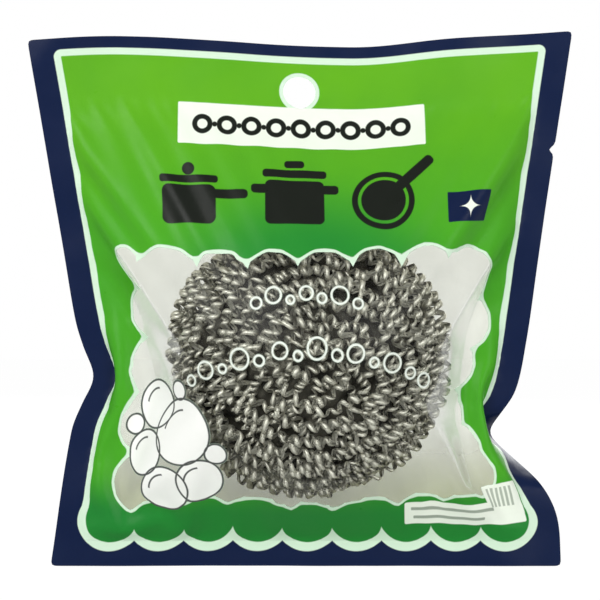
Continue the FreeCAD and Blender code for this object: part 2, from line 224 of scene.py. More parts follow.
def flatFilm():  # the film laid flat, cut along the welds, the window, the hole and the notch
    step = pouch["spacing"]
    left, right, top, bottom = pouch["flatLeft"], pouch["flatRight"], pouch["flatTop"], pouch["flatBottom"]
    notch, deep, half = pouch["notchAt"], pouch["notchDeep"], pouch["notchHalf"]
    turns = [i * math.pi / 16 for i in range(32)]
    hole = [(pouch["holeRadius"] * math.cos(a), pouch["holeRadius"] * math.sin(a)) for a in turns]
    opening = windowRing()
    tear = [(right, notch - half), (right - deep, notch), (right, notch + half)]
    edge = [(left, bottom), (right, bottom), *tear, (right, top), (left, top)]
    near, far = left + pouch["sideWeld"], right - pouch["sideWeld"]
    low, high = bottom + pouch["bottomWeld"], top - pouch["topWeld"]
    inner = [(near, low), (far, low), (far, high), (near, high)]
    rings = [stepAlong(edge, step), stepAlong(inner, step), opening, hole]
    points, edges = [], []
    for ring in rings:
        start = len(points)
        points += ring
        edges += [(start + i, start + (i + 1) % len(ring)) for i in range(len(ring))]
    cells = {}
    for p in points:
        cells.setdefault((int(p[0] // step), int(p[1] // step)), []).append(p)

    def crowded(p):
        i, j = int(p[0] // step), int(p[1] // step)
        beside = [q for a in (-1, 0, 1) for b in (-1, 0, 1) for q in cells.get((i + a, j + b), ())]
        return any(math.dist(p, q) < 0.62 * step for q in beside)

    rows = round((top - bottom) / (step * 0.866))
    for j in range(1, rows):
        v = bottom + (top - bottom) * j / rows
        for i in range(int((right - left) / step)):
            p = (left + step * (i + 0.5 + 0.5 * (j % 2)), v)
            clearOfHole = math.hypot(*p) > pouch["holeRadius"] + 0.4 * step
            if p[0] < right - 0.4 * step and clearOfHole and not crowded(p):
                points.append(p)
    found, _, triangles, *_ = geometry.delaunay_2d_cdt([Vector(p) for p in points], edges, [], 0, 1e-5)
    faces, regions = [], []
    for triangle in triangles:
        u, v = (sum(found[i][k] for i in triangle) / 3 for k in (0, 1))
        if math.hypot(u, v) < pouch["holeRadius"] * 0.995 or u > right - deep + abs(v - notch) * deep / half:
            continue
        if v > top - pouch["topWeld"]:
            region = "topWeld"
        elif v < bottom + pouch["bottomWeld"]:
            region = "bottomWeld"
        elif u < left + pouch["sideWeld"]:
            region = "leftWeld"
        elif u > right - pouch["sideWeld"]:
            region = "rightWeld"
        else:
            region = "clearWindow" if insideRing(opening, u, v) else "frontFilm"
        faces.append(triangle)
        regions.append(region)
    return [(p.x, p.y) for p in found], faces, regions


def windowGaps(spots):  # how far each spot of the flat film is outside the window's edge
    opening = windowRing()
    dense = stepAlong(opening, 0.1)
    near = kdtree.KDTree(len(dense))
    for i, (u, v) in enumerate(dense):
        near.insert((u, v, 0), i)
    near.balance()
    return [near.find((u, v, 0))[2] * (-1 if insideRing(opening, u, v) else 1) for u, v in spots]


def edgeDistance(u, v):
    return min(u - pouch["flatLeft"], pouch["flatRight"] - u, v - pouch["flatBottom"], pouch["flatTop"] - v)


def pinShare(u, v):
    left, right = pouch["flatLeft"] + pouch["sideRim"], pouch["flatRight"] - pouch["sideRim"]
    low, high = pouch["flatBottom"] + pouch["bottomWeld"], pouch["flatTop"] - pouch["topWeld"]
    if u < left + 0.1 or u > right - 0.1 or v < low + 0.1 or v > high - 0.1:
        return 1.0
    return ease(pouch["pinLow"], pouch["pinHigh"], v)


filmSettle = {
    "scale": 10.0, "frames": 64, "pushBy": 32, "skin": 0.75,
    "tension": 60, "compression": 12, "shear": 12, "bending": 6.0, "damping": 8, "air": 3, "puff": 0.25,
    "ease": 6,  # rounds of smoothing after it has settled
}


def settledFilm(flat, faces):  # cloth pushed out by the wad while its welded edges draw in
    size = filmSettle["scale"] * mm
    sheet = meshPiece("settlingFilm", [(u * size, 0, v * size) for u, v in flat], faces)
    held, free = sheet.vertex_groups.new(name="held"), sheet.vertex_groups.new(name="free")
    for i, (u, v) in enumerate(flat):
        held.add([i], pinShare(u, v), "REPLACE")
        free.add([i], 1 - pinShare(u, v), "REPLACE")
    sheet.shape_key_add(name="flat")
    pulled = sheet.shape_key_add(name="drawnIn")
    for i, (u, v) in enumerate(flat):
        x, z = drawnIn(u, v)
        pulled.data[i].co = (x * size, 0, z * size)
    for amount, at in ((0, 1), (1, filmSettle["pushBy"] - 2)):
        pulled.value = amount
        pulled.keyframe_insert("value", frame=at)
    deselectAll()
    bpy.ops.mesh.primitive_uv_sphere_add(segments=72, ring_count=44, radius=1)
    pusher = bpy.context.object
    wide, deep = (wad["radius"] + filmSettle["skin"]) * size, (wad["depth"] + filmSettle["skin"]) * size
    pusher.scale = (wide, deep, wide)
    for offset, at in ((deep + 0.02, 1), (0, filmSettle["pushBy"])):
        pusher.location = (wad["x"] * size, offset, wad["z"] * size)
        pusher.keyframe_insert("location", frame=at)
    pusher.modifiers.new("Collision", "COLLISION")
    pusher.collision.thickness_outer = 0.004
    pusher.collision.cloth_friction = 2
    cloth = sheet.modifiers.new("Cloth", "CLOTH")
    film = cloth.settings
    film.quality = 8
    film.mass = 0.25
    film.tension_stiffness = filmSettle["tension"]
    film.compression_stiffness = filmSettle["compression"]
    film.shear_stiffness = filmSettle["shear"]
    film.bending_stiffness = filmSettle["bending"]
    film.tension_damping = film.compression_damping = film.shear_damping = filmSettle["damping"]
    film.bending_damping = 1.0
    film.air_damping = filmSettle["air"]
    film.effector_weights.gravity = 0
    film.vertex_group_mass = "held"
    film.pin_stiffness = 1
    film.use_pressure = True
    film.uniform_pressure_force = filmSettle["puff"]
    cloth.collision_settings.distance_min = 0.004
    cloth.collision_settings.use_self_collision = False
    cloth.collision_settings.collision_quality = 3
    cloth.point_cache.frame_end = filmSettle["frames"]
    soften = sheet.modifiers.new("Soften", "SMOOTH")
    soften.factor = 0.5
    soften.iterations = filmSettle["ease"]
    soften.vertex_group = "free"
    for at in range(1, filmSettle["frames"] + 1):
        scene.frame_set(at)
    settled = bpy.data.meshes.new_from_object(sheet.evaluated_get(bpy.context.evaluated_depsgraph_get()))
    points = [v.co / filmSettle["scale"] for v in settled.vertices]
    for spare in (sheet, pusher):
        bpy.data.objects.remove(spare)
    scene.frame_set(1)
    return points


def waver(u, v):  # the free edges wave a little, both films together
    share = 1 - ease(0, 26, edgeDistance(u, v))
    flow = noise.noise(Vector((u * 0.021, v * 0.021, 3.7)))
    flow += 0.5 * noise.noise(Vector((u * 0.05, v * 0.05, 9.1)))
    calm = ease(6, 22, math.hypot(u, v))  # flat round the hang hole
    return pouch["waver"] * 1.8 * flow * share * calm


flat, flatFaces, regions = flatFilm()
windowGap = windowGaps(flat)
settled = settledFilm(flat, flatFaces)
print("film:", len(flat), "points, stands off", round(-min(p.y for p in settled) / mm, 1), "mm")


def filmSheet(name, side):  # side -1 is the front, 1 the back
    points = []
    for (u, v), p in zip(flat, settled):
        off = max(-p.y / mm, pouch["layer"])
        r = math.hypot(p.x / mm - wad["x"], p.z / mm - wad["z"]) / (wad["radius"] + filmSettle["skin"])
        if r < 1:
            off = max(off, (wad["depth"] + filmSettle["skin"]) * math.sqrt(1 - r * r))
        square = edgeTurn(p.z / mm)
        back = max(0.0, u - pouch["flatRight"] + pouch["sideRim"]) * math.sqrt(1 - square * square)
        points.append(Vector((p.x, (side * off + waver(u, v) + back) * mm, p.z)))
    sheet = meshPiece(name, points, flatFaces)
    shell = bmesh.new()
    shell.from_mesh(sheet.data)
    if sum(face.normal.y for face in shell.faces) * side < 0:
        bmesh.ops.reverse_faces(shell, faces=shell.faces)
    layer = shell.loops.layers.uv.new("flat")
    gapLayer = shell.loops.layers.uv.new("windowGap")
    shell.verts.ensure_lookup_table()
    for face in shell.faces:
        face.smooth = True
        for corner in face.loops:
            u, v = flat[corner.vert.index]
            corner[layer].uv = (u / 200 + 0.5, v / 200 + 0.9)
            corner[gapLayer].uv = (windowGap[corner.vert.index] / 200 + 0.5, 0.5)
    shell.to_mesh(sheet.data)
    shell.free()
    return sheet


def splitByRegion(sheet, names):
    for region in sorted(set(names)):
        sheet.data.materials.append(bpy.data.materials.new(region))
    order = {region: i for i, region in enumerate(sorted(set(names)))}
    for face, region in zip(sheet.data.polygons, names):
        face.material_index = order[region]
    finer = sheet.modifiers.new("Finer", "SUBSURF")
    finer.levels = finer.render_levels = 1
    applyModifier(sheet, finer)
    makeActive(sheet)
    bpy.ops.object.mode_set(mode="EDIT")
    bpy.ops.mesh.select_all(action="SELECT")
    bpy.ops.mesh.separate(type="MATERIAL")
    bpy.ops.object.mode_set(mode="OBJECT")
    pieces = {}
    for piece in list(bpy.context.selected_objects):
        used = piece.data.materials[piece.data.polygons[0].material_index].name
        pieces[used] = piece
        piece.name = piece.data.name = used
    return pieces


def thicken(piece, thick, offset, innerSlot=0):
    wall = piece.modifiers.new("Wall", "SOLIDIFY")
    wall.thickness = thick * mm
    wall.offset = offset
    wall.material_offset = innerSlot
    wall.use_even_offset = False
    applyModifier(piece, wall)
    makeActive(piece)
    bpy.ops.object.shade_smooth_by_angle(angle=math.radians(50))


def ink(code):  # a colour as a print shop writes it
    parts = [int(code[i:i + 2], 16) / 255 for i in (1, 3, 5)]
    return tuple(c / 12.92 if c <= 0.04045 else ((c + 0.055) / 1.055) ** 2.4 for c in parts) + (1.0,)


def newMaterial(name):
    material = bpy.data.materials.new(name)
    material.use_nodes = True
    material.node_tree.nodes.clear()
    return material, material.node_tree


def nodeTools(tree):
    def put(socket, value):
        if hasattr(value, "is_linked"):
            tree.links.new(value, socket)
        elif value is not None:
            socket.default_value = value

    def maths(operation, *values):
        node = tree.nodes.new("ShaderNodeMath")
        node.operation = operation
        for socket, value in zip(node.inputs, values):
            put(socket, value)
        return node.outputs[0]

    def vector(operation, *values):
        node = tree.nodes.new("ShaderNodeVectorMath")
        node.operation = operation
        for socket, value in zip(node.inputs, values):
            put(socket, value)
        return node.outputs["Value" if operation in ("LENGTH", "DISTANCE", "DOT_PRODUCT") else "Vector"]

    def ramp(value, low, high, start, end, smooth=False):
        node = tree.nodes.new("ShaderNodeMapRange")
        node.interpolation_type = "SMOOTHSTEP" if smooth else "LINEAR"
        for socket, number in zip(node.inputs[:5], (value, low, high, start, end)):
            put(socket, number)
        return node.outputs[0]

    def mixed(share, under, over):
        node = tree.nodes.new("ShaderNodeMix")
        node.data_type = "RGBA"
        put(node.inputs[0], share)
        put(node.inputs[6], under)
        put(node.inputs[7], over)
        return node.outputs[2]

    def noisy(place, scale, detail=2.0, rough=0.5):
        node = tree.nodes.new("ShaderNodeTexNoise")
        put(node.inputs["Vector"], place)
        node.inputs["Scale"].default_value = scale
        node.inputs["Detail"].default_value = detail
        node.inputs["Roughness"].default_value = rough
        return node.outputs["Fac"]

    return put, maths, vector, ramp, mixed, noisy


artwork = {
    "navy": "#03163A", "mint": "#D3EBD3", "leaf": "#62AE1A",
    # shade and deep are darker greens used as painted shade; deep also gives the random mottling
    "grass": "#48A41F", "shade": "#26892E", "deep": "#0F7831",
    "paper": "#EDF4E6", "black": "#10150E", "foam": "#FAFBF6", "foamLine": "#4B4F4C", "rule": "#9AA596",
    "fieldMiddle": 0.2, "fieldHalf": 75.4, "fieldTop": 9.7, "fieldFoot": -146.5,
    "lobes": 9, "lobeRise": 6.0, "lineWide": 2.2, "bandWide": 2.9,
    "holeRing": 6.5,
    "panel": (0.6, -12.2, 40.0, 7.0),  # middle and half sizes
    "beads": 9, "beadPitch": 8.0, "beadRadius": 2.5, "beadHalf": 0.85, "speckRadius": 0.9,
    "tag": (54.6, -41.0, 7.4, 5.1), "starArm": 3.9,
    "label": (54.2, -141.5, 20.9, 4.0), "labelTab": (68.6, -137.4, 6.6, 5.6),
    "saucepan": [(-36, -39.6, 9.2, 6.4, 2.4), (-23, -36.2, 6.6, 1.6, 1.3), (-36, -31.2, 9.8, 1.3, 1.0)],
    "saucepanKnob": (-36, -27.8, 2.1),
    "stockpot": [
        (-1.5, -38.6, 9.4, 7.6, 1.8), (-12.6, -34, 2.8, 1.6, 1.2), (9.6, -34, 2.8, 1.6, 1.2),
        (-1.5, -28.6, 10.2, 1.4, 1.1), (-1.5, -25.2, 3.2, 1.3, 1.1),
    ],
    "skillet": (26.5, -38.0), "skilletReach": 10.0, "skilletRim": 7.6, "skilletTurn": -42,
    "skilletHandle": (39.5, -38.0, 8.5, 1.7, 1.5),
    "foamBalls": [
        (-41, -112, 10.5), (-53.5, -104.5, 7.6), (-55.5, -120, 7.2), (-35, -128.5, 7.6),
        (-47, -131.5, 7.8), (-29, -119, 3.6), (-62, -111.8, 3.2), (-43, -99, 3.0),
    ],
    "bubbles": [
        (-14, -71.6, 1.7), (-8.6, -69.4, 2.4), (-3.4, -71, 1.2), (1.6, -69, 2.0), (6.4, -70.6, 1.4),
        (12, -69.6, 2.6), (17.6, -72, 1.5),
        (-37, -95.4, 1.6), (-31.4, -91.8, 2.6), (-25.4, -91, 1.3), (-19.6, -88, 2.9), (-13.4, -88.4, 1.5),
        (-7, -85.6, 2.3), (-1.4, -87, 1.3), (4.6, -85, 3.0), (11, -87, 1.6), (16.6, -86.4, 2.5),
        (22.4, -89.2, 1.4), (28.4, -89.6, 2.8), (34.6, -93, 1.7), (39.6, -95.6, 2.2),
    ],
    "wadMiddle": (3.3, -87.0),
}


def printedFilm(name, hasPane):  # the front with its panel and pictures, and the clear pane where it has one
    material, tree = newMaterial(name)
    put, maths, vector, ramp, mixed, noisy = nodeTools(tree)
    flatMap = tree.nodes.new("ShaderNodeUVMap")
    flatMap.uv_map = "flat"
    # millimetres on the flat film
    spot = vector("MULTIPLY_ADD", flatMap.outputs["UV"], (200, 200, 0), (-100, -180, 0))
    split = tree.nodes.new("ShaderNodeSeparateXYZ")
    put(split.inputs[0], spot)
    u, v = split.outputs[0], split.outputs[1]

    def pair(a, b):
        node = tree.nodes.new("ShaderNodeCombineXYZ")
        put(node.inputs[0], a)
        put(node.inputs[1], b)
        return node.outputs[0]

    def disc(cu, cv, radius, place=spot):
        return maths("SUBTRACT", vector("DISTANCE", place, (cu, cv, 0)), radius)

    def roundBox(cu, cv, halfWide, halfHigh, corner, place=spot):
        gap = vector("ABSOLUTE", vector("SUBTRACT", place, (cu, cv, 0)))
        gap = vector("MAXIMUM", vector("SUBTRACT", gap, (halfWide - corner, halfHigh - corner, 0)), (0, 0, 0))
        return maths("SUBTRACT", vector("LENGTH", gap), corner)

    def turned(cu, cv, degrees):
        node = tree.nodes.new("ShaderNodeVectorRotate")
        node.rotation_type = "Z_AXIS"
        put(node.inputs["Vector"], spot)
        node.inputs["Center"].default_value = (cu, cv, 0)
        node.inputs["Angle"].default_value = math.radians(degrees)
        return node.outputs[0]

    def joined(*shapes):
        whole = shapes[0]
        for shape in shapes[1:]:
            whole = maths("MINIMUM", whole, shape)
        return whole

    def within(shape, limit):
        return maths("MAXIMUM", shape, limit)

    def outline(shape, half):
        return maths("SUBTRACT", maths("ABSOLUTE", shape), half)

    def repeated(value, pitch):  # runs from -pitch/2 to pitch/2 over and over
        share = maths("FRACT", maths("ADD", maths("DIVIDE", value, pitch), 50.5))
        return maths("MULTIPLY", maths("SUBTRACT", share, 0.5), pitch)

    def lobesAlong(value, pitch, count):  # how far along from the nearest of a row of lobes
        place = maths("FLOOR", maths("ADD", maths("DIVIDE", value, pitch), count / 2))
        place = maths("MINIMUM", maths("MAXIMUM", place, 0.0), count - 1.0)
        return maths("SUBTRACT", value, maths("MULTIPLY", maths("SUBTRACT", place, (count - 1) / 2), pitch))

    def filled(shape, soft=0.14):
        return ramp(shape, -soft, soft, 1.0, 0.0)

    middle, half = artwork["fieldMiddle"], artwork["fieldHalf"]
    pitch, rise = 2 * half / artwork["lobes"], artwork["lobeRise"]
    radius = lobeRadius(pitch, rise)
    lobeLine = artwork["fieldFoot"] - rise + radius  # the lobes' middles
    fromMiddle = maths("SUBTRACT", u, middle)
    fromLobe = pair(lobesAlong(fromMiddle, pitch, artwork["lobes"]), maths("SUBTRACT", v, lobeLine))
    lobes = maths("SUBTRACT", vector("LENGTH", fromLobe), radius)
    tall = artwork["fieldTop"] - lobeLine
    field = roundBox(middle, lobeLine + tall / 2, half, tall / 2, 0.4)
    scalloped = joined(field, lobes)
    toWad = vector("DISTANCE", spot, (*artwork["wadMiddle"], 0))
    mottled = noisy(spot, 0.035, 3.0)
    leaf = mixed(ramp(v, -62, 8, 0, 1, True), ink(artwork["grass"]), ink(artwork["leaf"]))
    # painted shade: the green darkens round the wad's middle, where the dark wad behind the film shows
    # through
    green = mixed(ramp(toWad, 62, 34, 0, 1, True), leaf, ink(artwork["shade"]))
    # painted shade: the green deepens into the foot strip, which faces down and has the wad behind it
    green = mixed(ramp(v, -126, -142, 0, 0.85, True), green, ink(artwork["deep"]))
    green = mixed(ramp(mottled, 0.3, 0.7, 0, 0.16), green, ink(artwork["deep"]))
    foot = artwork["fieldFoot"]
    band = ramp(v, foot + 10, foot, artwork["lineWide"], artwork["bandWide"], True)
    colour = mixed(filled(maths("SUBTRACT", scalloped, band)), ink(artwork["navy"]), ink(artwork["mint"]))
    colour = mixed(filled(scalloped), colour, green)
    colour = mixed(filled(disc(0, 0, artwork["holeRing"])), colour, ink(artwork["mint"]))
    cu, cv, wide, high = artwork["panel"]
    colour = mixed(filled(roundBox(cu, cv, wide, high, 0.5)), colour, ink(artwork["paper"]))
    count, apart = artwork["beads"], artwork["beadPitch"]
    beads = pair(lobesAlong(maths("SUBTRACT", u, cu), apart, count), maths("SUBTRACT", v, cv))
    specks = pair(lobesAlong(maths("SUBTRACT", u, cu), apart, count - 1), maths("SUBTRACT", v, cv))
    row = outline(disc(0, 0, artwork["beadRadius"], beads), artwork["beadHalf"])
    row = joined(row, disc(0, 0, artwork["speckRadius"], specks))
    colour = mixed(filled(row), colour, ink(artwork["black"]))

    saucepan = joined(*[roundBox(*box) for box in artwork["saucepan"]], disc(*artwork["saucepanKnob"]))
    stockpot = joined(*[roundBox(*box) for box in artwork["stockpot"]])
    rim = maths("MULTIPLY", outline(disc(*artwork["skillet"], artwork["skilletRim"]), 0.5), -1.0)
    handle = roundBox(*artwork["skilletHandle"], turned(*artwork["skillet"], artwork["skilletTurn"]))
    skillet = joined(within(disc(*artwork["skillet"], artwork["skilletReach"]), rim), handle)
    colour = mixed(filled(joined(saucepan, stockpot, skillet)), colour, ink(artwork["black"]))

    cu, cv, wide, high = artwork["tag"]
    colour = mixed(filled(roundBox(cu, cv, wide, high, 0.4)), colour, ink(artwork["navy"]))
    star = vector("ABSOLUTE", vector("SUBTRACT", spot, (cu, cv, 0)))
    arms = tree.nodes.new("ShaderNodeSeparateXYZ")
    put(arms.inputs[0], star)
    spark = [maths("SQRT", maths("DIVIDE", arms.outputs[k], artwork["starArm"])) for k in (0, 1)]
    spark = maths("ADD", *spark)
    colour = mixed(ramp(spark, 0.96, 1.04, 1, 0), colour, ink(artwork["paper"]))

    gapMap = tree.nodes.new("ShaderNodeUVMap")
    gapMap.uv_map = "windowGap"
    reach = tree.nodes.new("ShaderNodeSeparateXYZ")
    put(reach.inputs[0], gapMap.outputs["UV"])
    gap = maths("MULTIPLY", maths("SUBTRACT", reach.outputs[0], 0.5), 200.0)
    colour = mixed(filled(maths("SUBTRACT", gap, window["lineWide"])), colour, ink(artwork["mint"]))
    clear = filled(gap)

    balls = [disc(*ball) for ball in artwork["foamBalls"]]
    foam = joined(*balls)
    lines = joined(*[outline(ball, 0.32) for ball in balls])
    glints = []
    for a, b, c in artwork["foamBalls"][:5]:
        glints.append(within(outline(disc(a, b, 0.66 * c), 0.3), disc(a - 0.5 * c, b + 0.5 * c, 0.5 * c)))
    colour = mixed(filled(foam), colour, ink(artwork["foam"]))
    colour = mixed(filled(joined(lines, *glints)), colour, ink(artwork["foamLine"]))
    solid = filled(maths("SUBTRACT", foam, 0.32))

    cu, cv, wide, high = artwork["label"]
    tu, tv, tabWide, tabHigh = artwork["labelTab"]
    label = joined(roundBox(cu, cv, wide, high, 0.6), roundBox(tu, tv, tabWide, tabHigh, 0.6))
    colour = mixed(filled(label), colour, ink(artwork["paper"]))
    bars = maths("SUBTRACT", maths("ABSOLUTE", repeated(u, 1.6)), 0.42)
    bars = within(bars, roundBox(tu - 0.6, tv + 1.2, tabWide - 2.2, tabHigh - 2.4, 0.1))
    upper, lower = (cu - 4.4, cv + 1.5, wide - 6.6, 0.55, 0.3), (cu - 6, cv - 1.6, wide - 9, 0.55, 0.3)
    rules = joined(roundBox(*upper), roundBox(*lower), bars)
    colour = mixed(filled(rules), colour, ink(artwork["rule"]))
    solid = maths("MAXIMUM", solid, filled(label))

    bubbles = joined(*[outline(disc(*bubble), 0.34) for bubble in artwork["bubbles"]])
    white = maths("MULTIPLY", filled(bubbles), 0.8)
    colour = mixed(white, colour, ink(artwork["foam"]))
    solid = maths("MAXIMUM", solid, white)
    clear = maths("MULTIPLY", clear, maths("SUBTRACT", 1.0, solid))

    gloss = tree.nodes.new("ShaderNodeBsdfPrincipled")
    put(gloss.inputs["Base Color"], colour)
    scuff = noisy(spot, 0.12, 4.0, 0.6)
    put(gloss.inputs["Roughness"], ramp(scuff, 0.3, 0.7, 0.27, 0.42))
    gloss.inputs["Specular IOR Level"].default_value = 0.12
    crinkle = tree.nodes.new("ShaderNodeBump")
    crinkle.inputs["Strength"].default_value = 0.12
    crinkle.inputs["Distance"].default_value = 0.0004
    put(crinkle.inputs["Height"], noisy(spot, 0.16, 3.0, 0.55))
    put(gloss.inputs["Normal"], crinkle.outputs[0])
    result = tree.nodes.new("ShaderNodeOutputMaterial")
    if not hasPane:
        tree.links.new(gloss.outputs[0], result.inputs[0])
        return material
    through = tree.nodes.new("ShaderNodeBsdfTransparent")
    through.inputs[0].default_value = (0.97, 0.98, 0.97, 1)
    shine = tree.nodes.new("ShaderNodeBsdfGlossy")
    shine.inputs["Roughness"].default_value = 0.22
    shine.inputs["Color"].default_value = (1, 1, 1, 1)
    rimLight = tree.nodes.new("ShaderNodeFresnel")
    rimLight.inputs[0].default_value = 1.22
    pane = tree.nodes.new("ShaderNodeMixShader")
    put(pane.inputs[0], maths("MULTIPLY", rimLight.outputs[0], 0.3))  # hardly mirrors where it turns edge-on
    tree.links.new(through.outputs[0], pane.inputs[1])
    tree.links.new(shine.outputs[0], pane.inputs[2])
    both = tree.nodes.new("ShaderNodeMixShader")
    put(both.inputs[0], clear)
    tree.links.new(gloss.outputs[0], both.inputs[1])
    tree.links.new(pane.outputs[0], both.inputs[2])
    tree.links.new(both.outputs[0], result.inputs[0])
    return material


def milkyFilm(name):  # unprinted film that lets the light through
    material, tree = newMaterial(name)
    put, maths, vector, ramp, mixed, noisy = nodeTools(tree)
    place = tree.nodes.new("ShaderNodeTexCoord").outputs["Object"]
    cloudy = noisy(place, 55.0, 4.0, 0.6)
    height = tree.nodes.new("ShaderNodeSeparateXYZ")
    put(height.inputs[0], place)
    low = ramp(height.outputs[2], -0.1, -0.13, 0, 1, True)  # painted shade and green light thrown back from the print, duller and yellower towards the foot
    body = tree.nodes.new("ShaderNodeBsdfPrincipled")
    put(body.inputs["Base Color"], mixed(low, mixed(cloudy, ink("#E9E9DA"), ink("#F6F6EC")), ink("#C3C996")))
    put(body.inputs["Roughness"], ramp(cloudy, 0.3, 0.7, 0.3, 0.45))
    body.inputs["Specular IOR Level"].default_value = 0.3
    through = tree.nodes.new("ShaderNodeBsdfTransparent")
    through.inputs[0].default_value = (0.99, 0.99, 0.965, 1)
    both = tree.nodes.new("ShaderNodeMixShader")
    # the painted shade also raises the cloudy share towards the foot
    put(both.inputs[0], maths("ADD", ramp(cloudy, 0.3, 0.7, 0.15, 0.22), maths("MULTIPLY", low, 0.3)))
    tree.links.new(through.outputs[0], both.inputs[1])
    tree.links.new(body.outputs[0], both.inputs[2])
    result = tree.nodes.new("ShaderNodeOutputMaterial")
    tree.links.new(both.outputs[0], result.inputs[0])
    return material


def insideFilm(name):  # the unprinted white side
    material, tree = newMaterial(name)
    put, maths, vector, ramp, mixed, noisy = nodeTools(tree)
    place = tree.nodes.new("ShaderNodeTexCoord").outputs["Object"]
    cloudy = noisy(place, 40.0, 3.0)
    body = tree.nodes.new("ShaderNodeBsdfPrincipled")
    put(body.inputs["Base Color"], mixed(cloudy, ink("#EFEFE0"), ink("#F8F8F0")))
    put(body.inputs["Roughness"], ramp(cloudy, 0.3, 0.7, 0.4, 0.55))
    result = tree.nodes.new("ShaderNodeOutputMaterial")
    tree.links.new(body.outputs[0], result.inputs[0])
    return material


def steel(name, dark, bright, smooth, rough):
    material, tree = newMaterial(name)
    put, maths, vector, ramp, mixed, noisy = nodeTools(tree)
    place = tree.nodes.new("ShaderNodeTexCoord").outputs["Object"]
    blotch = noisy(place, 160.0, 3.0)
    grain = noisy(place, 1400.0, 2.0)
    body = tree.nodes.new("ShaderNodeBsdfPrincipled")
    put(body.inputs["Base Color"], mixed(ramp(blotch, 0.35, 0.65, 0, 1), ink(dark), ink(bright)))
    put(body.inputs["Roughness"], ramp(grain, 0.3, 0.7, smooth, rough))
    body.inputs["Metallic"].default_value = 1.0
    result = tree.nodes.new("ShaderNodeOutputMaterial")
    tree.links.new(body.outputs[0], result.inputs[0])
    return material


frontPrint = printedFilm("printedFront", False)
panePrint = printedFilm("printedPane", True)
milkyBack = milkyFilm("milkyBack")
bareInside = insideFilm("bareInside")

frontPieces = splitByRegion(filmSheet("frontSheet", -1), regions)
replaced = {
    "frontFilm": (["front_film", "header_panel"], "printed_film"),
    "clearWindow": (["clear_window"], "clear_film"),
    "topWeld": (["top_weld"], "border_film"), "bottomWeld": (["bottom_weld"], "border_film"),
    "leftWeld": (["left_weld"], "border_film"), "rightWeld": (["right_weld"], "border_film"),
}
for name, piece in frontPieces.items():
    piece.data.materials.clear()
    piece.data.materials.append(panePrint if name == "clearWindow" else frontPrint)
    for face in piece.data.polygons:
        face.material_index = 0
    if name.endswith("Weld"):
        thicken(piece, pouch["weldThick"], -1)
    else:
        piece.data.materials.append(panePrint if name == "clearWindow" else bareInside)
        thicken(piece, pouch["filmThick"], -1, 1)
    nodes, slotName = replaced[name]
    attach(piece, "pouch")
    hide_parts(*nodes)

backRegions = ["skip" if name.endswith("Weld") else "backFilm" for name in regions]
backPieces = splitByRegion(filmSheet("backSheet", 1), backRegions)
bpy.data.objects.remove(backPieces["skip"])
backFilm = backPieces["backFilm"]
backFilm.data.materials.clear()
backFilm.data.materials.append(milkyBack)
for face in backFilm.data.polygons:
    face.material_index = 0
thicken(backFilm, pouch["filmThick"], -1)
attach(backFilm, "pouch")
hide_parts("back_film")


def flatArea(name):  # square metres of the flat cut
    area = 0.0
    for (a, b, c), region in zip(flatFaces, regions):
        if region == name:
            area += geometry.area_tri(Vector(flat[a]), Vector(flat[b]), Vector(flat[c]))
    return area * mm * mm


flatWide, flatHigh = pouch["flatRight"] - pouch["flatLeft"], pouch["flatTop"] - pouch["flatBottom"]
between = ((flatWide - 2 * pouch["sideWeld"]) * mm, (flatHigh - pouch["topWeld"] - pouch["bottomWeld"]) * mm)
opening = windowRing()
paneSize = tuple((max(p[k] for p in opening) - min(p[k] for p in opening)) * mm for k in (0, 1))
flatArea("frontFilm")
flatArea("clearWindow")
flatArea("frontFilm") + flatArea("clearWindow")
sizes = [round(size, 4) for size in between + paneSize]
print("pouch:", len(frontPieces) + 1, "pieces, film and window", sizes, "m")


def woundPath(halfWide, halfDeep, firstRadius, turns, tilt):  # points and outward normals along the winding
    first = math.asin(firstRadius / halfWide)
    leans = [first + (math.pi - 2 * first) * i / 900 for i in range(901)]
    run = [0.0]
    for a, b in zip(leans, leans[1:]):
        mid = (a + b) / 2
        run.append(run[-1] + (b - a) * math.hypot(halfWide * math.cos(mid), halfDeep * math.sin(mid)))
    lean = Matrix.Rotation(tilt, 3, "X") @ Matrix.Rotation(tilt * 0.6, 3, "Z")
    middle = Vector((wad["x"], 0, wad["z"]))
    perTurn = 64
    path = []
    for i in range(turns * perTurn + 1):
        wanted = run[-1] * i / (turns * perTurn)
        k = min(bisect.bisect_right(run, wanted), len(run) - 1)
        angle = leans[k - 1] + (leans[k] - leans[k - 1]) * (wanted - run[k - 1]) / (run[k] - run[k - 1])
        around = 2 * math.pi * i / perTurn
        ring = math.sin(angle)
        spot = lean @ Vector((ring * math.cos(around), -math.cos(angle), ring * math.sin(around)))
        place = Vector((spot.x * halfWide, spot.y * halfDeep, spot.z * halfWide))
        normal = Vector((spot.x / halfWide, spot.y / halfDeep, spot.z / halfWide)).normalized()
        path.append((middle + place, normal))
    return path


